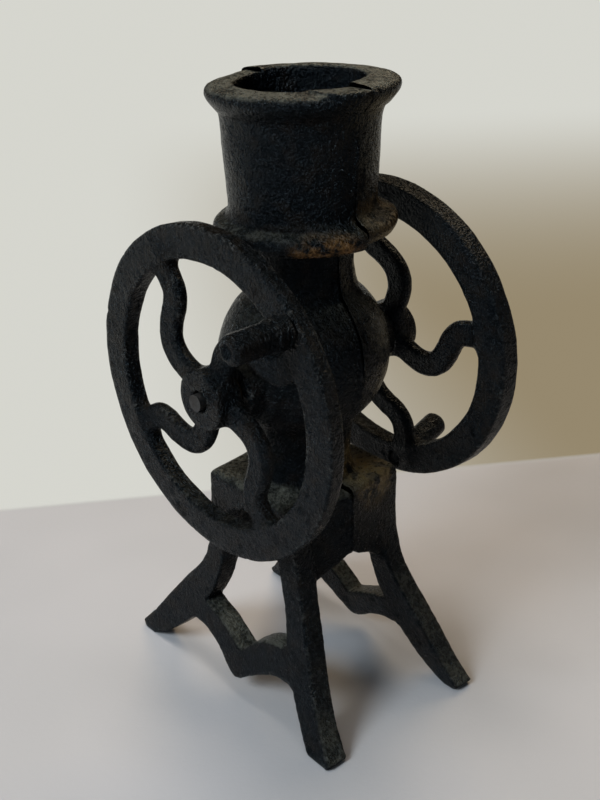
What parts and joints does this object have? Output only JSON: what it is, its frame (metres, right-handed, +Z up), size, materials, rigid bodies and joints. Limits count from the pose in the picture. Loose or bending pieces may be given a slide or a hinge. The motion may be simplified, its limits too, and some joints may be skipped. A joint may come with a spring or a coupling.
{
  "type": "double flywheel hand coffee grinder",
  "caption": "Miniature hand-cranked coffee mill in black cast iron with twin spoked flywheels, a round hopper and splayed legs.",
  "frame": {"origin": "bottom centre of the mill, on the surface its feet stand on", "axes": "+Z up, X along the drive shaft with the right-hand flywheel at +X, -Y the front"},
  "size_m": [0.0673, 0.0604, 0.1131],
  "materials": {
    "black_iron": "black painted sand casting, worn and dusty",
    "steel": "plain turned steel, darkened",
    "bronze": "plain turned bronze"
  },
  "bodies": {
    "frame": {"left_casting": "black_iron", "right_casting": "black_iron", "left_bushing": "bronze", "right_bushing": "bronze", "fixed_burr_ring": "steel", "burr_ring_screw_1": "steel", "burr_ring_screw_2": "steel", "burr_ring_screw_3": "steel", "tie_rivet_front": "steel", "tie_rivet_back": "steel", "locating_dowel_front": "steel", "locating_dowel_back": "steel"},
    "rotor": {"drive_shaft": "steel", "left_flywheel": "black_iron", "right_flywheel": "black_iron", "left_handle": "black_iron", "right_handle": "black_iron", "left_hub_pin": "steel", "right_hub_pin": "steel", "left_thrust_washer": "steel", "right_thrust_washer": "steel", "feed_worm": "black_iron", "worm_pin": "steel", "rotating_burr": "steel", "burr_pin": "steel"}
  },
  "joints": [
    {"name": "crank_spin", "type": "hinge", "parent": "frame", "child": "rotor", "pos_m": [0, -0.0005, 0.064], "axis": [0.9989, 0.0384, 0.0262], "continuous": true}
  ]
}
